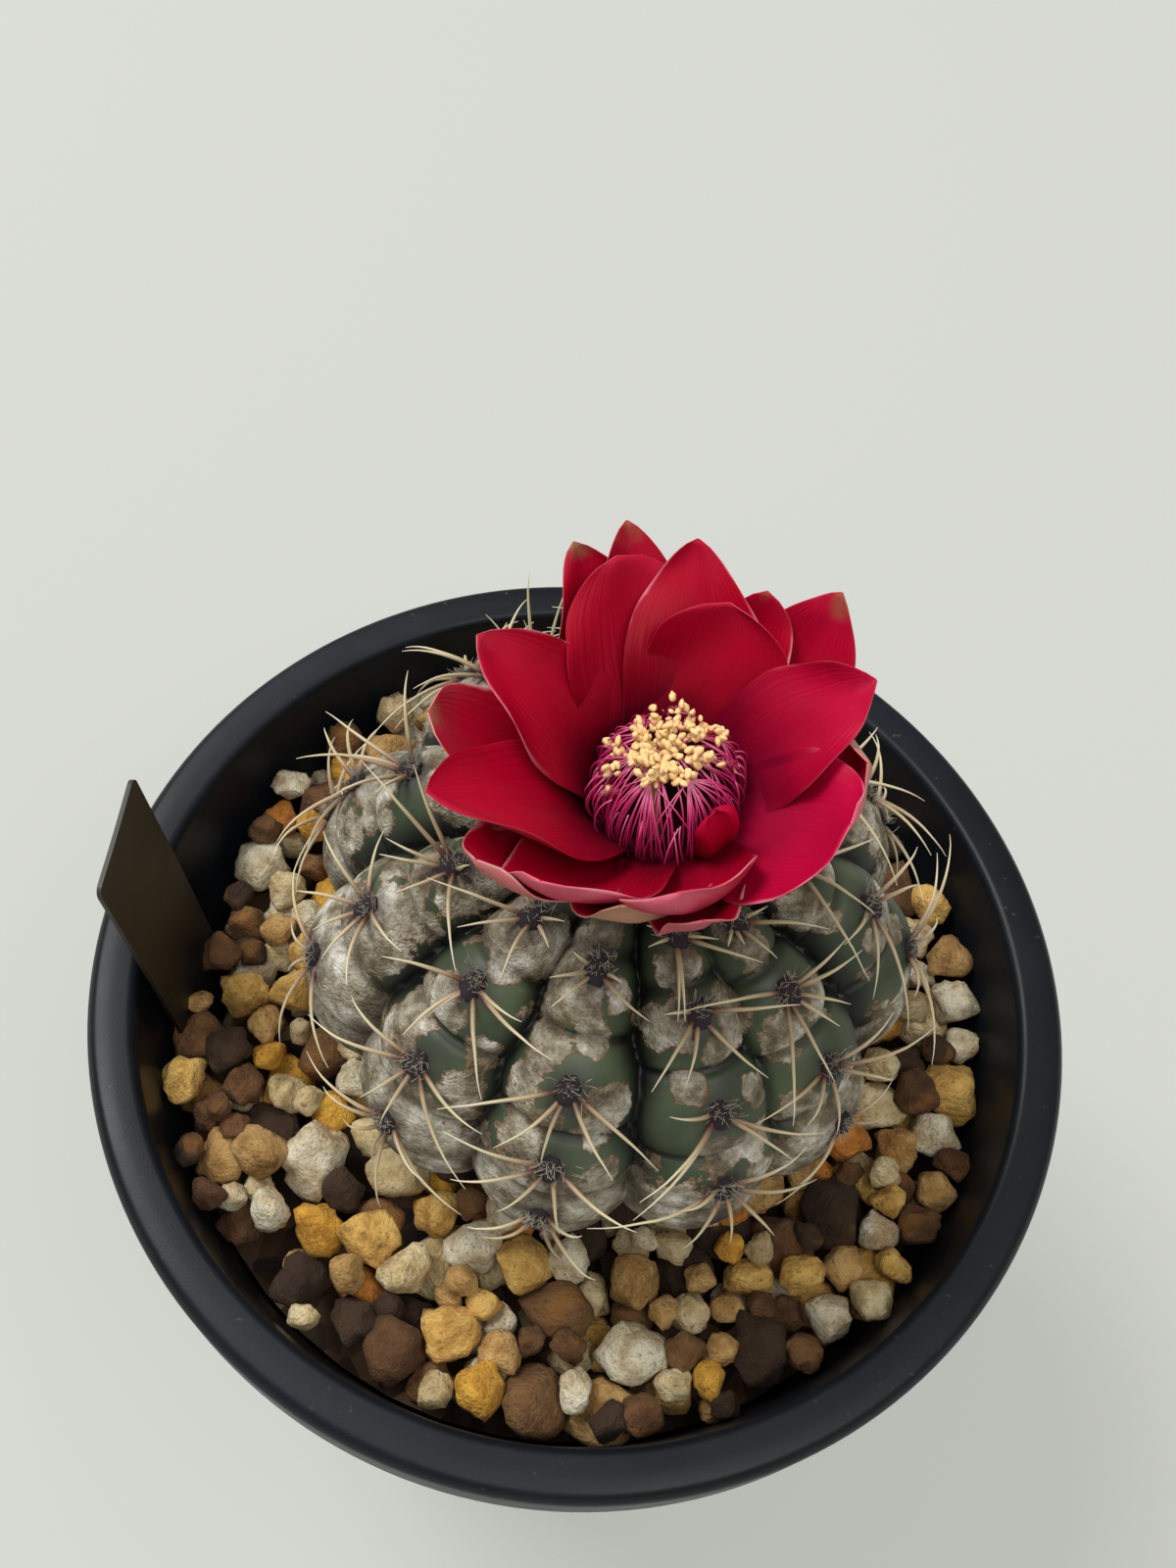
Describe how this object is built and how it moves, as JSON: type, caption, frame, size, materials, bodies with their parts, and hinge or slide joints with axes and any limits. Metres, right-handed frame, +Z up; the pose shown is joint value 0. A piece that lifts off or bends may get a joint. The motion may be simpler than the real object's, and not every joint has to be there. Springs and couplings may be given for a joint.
{
  "type": "potted round cactus",
  "caption": "Ribbed globe cactus with curved spines and an open red flower, in a round dark plastic nursery pot topped with mixed grit and holding a plain label.",
  "frame": {"origin": "centre of the pot's underside, on the ground", "axes": "+Z up along the pot's axis; the plant label stands at -X, and -Y is the side the flower is seen from"},
  "size_m": [0.12, 0.12, 0.1745],
  "materials": {
    "pot_plastic": "moulded polypropylene, dark slate, satin",
    "potting_mix": "dark, damp mineral mix",
    "grit": "mixed pumice and fired clay, dry and dusty, cream, ochre and brown",
    "label_plastic": "thin dark brown tag, satin",
    "cactus_skin": "dull grey-green skin with grey corky patches",
    "spines": "straw coloured horn on woolly grey areoles",
    "flower_tube": "smooth green tube with pink-edged scales",
    "inner_petals": "satin crimson, darker in the throat, pale at the edge",
    "outer_petals": "satin crimson inside, pinkish and olive outside",
    "stamens": "magenta filaments with powdery pale yellow anthers",
    "style": "pale yellow, matt"
  },
  "bodies": {
    "root": {"pot": "pot_plastic", "potting_mix": "potting_mix", "grit_dressing": "grit", "plant_label": "label_plastic", "stem": "cactus_skin", "flower_tube": "flower_tube", "stamens": "stamens", "style": "style", "spines_rib_01_areole_1": "spines", "spines_rib_01_areole_2": "spines", "spines_rib_01_areole_3": "spines", "spines_rib_02_areole_1": "spines", "spines_rib_02_areole_2": "spines", "spines_rib_02_areole_3": "spines", "spines_rib_03_areole_1": "spines", "spines_rib_03_areole_2": "spines", "spines_rib_03_areole_3": "spines", "spines_rib_04_areole_1": "spines", "spines_rib_04_areole_2": "spines", "spines_rib_04_areole_3": "spines", "spines_rib_05_areole_1": "spines", "spines_rib_05_areole_2": "spines", "spines_rib_05_areole_3": "spines", "spines_rib_06_areole_1": "spines", "spines_rib_06_areole_2": "spines", "spines_rib_06_areole_3": "spines", "spines_rib_07_areole_1": "spines", "spines_rib_07_areole_2": "spines", "spines_rib_07_areole_3": "spines", "spines_rib_08_areole_1": "spines", "spines_rib_08_areole_2": "spines", "spines_rib_08_areole_3": "spines", "spines_rib_09_areole_1": "spines", "spines_rib_09_areole_2": "spines", "spines_rib_09_areole_3": "spines", "spines_rib_10_areole_1": "spines", "spines_rib_10_areole_2": "spines", "spines_rib_10_areole_3": "spines", "spines_rib_11_areole_1": "spines", "spines_rib_11_areole_2": "spines", "spines_rib_11_areole_3": "spines", "petal_inner_1": "inner_petals", "petal_outer_1": "outer_petals", "petal_inner_2": "inner_petals", "petal_outer_2": "outer_petals", "petal_inner_3": "inner_petals", "petal_outer_3": "outer_petals", "petal_inner_4": "inner_petals", "petal_outer_4": "outer_petals", "petal_inner_5": "inner_petals", "petal_outer_5": "outer_petals", "petal_inner_6": "inner_petals", "petal_outer_6": "outer_petals", "petal_inner_7": "inner_petals", "petal_outer_7": "outer_petals", "petal_inner_8": "inner_petals", "petal_outer_8": "outer_petals", "petal_inner_9": "inner_petals", "petal_outer_9": "outer_petals", "petal_curled": "inner_petals"}
  },
  "joints": []
}
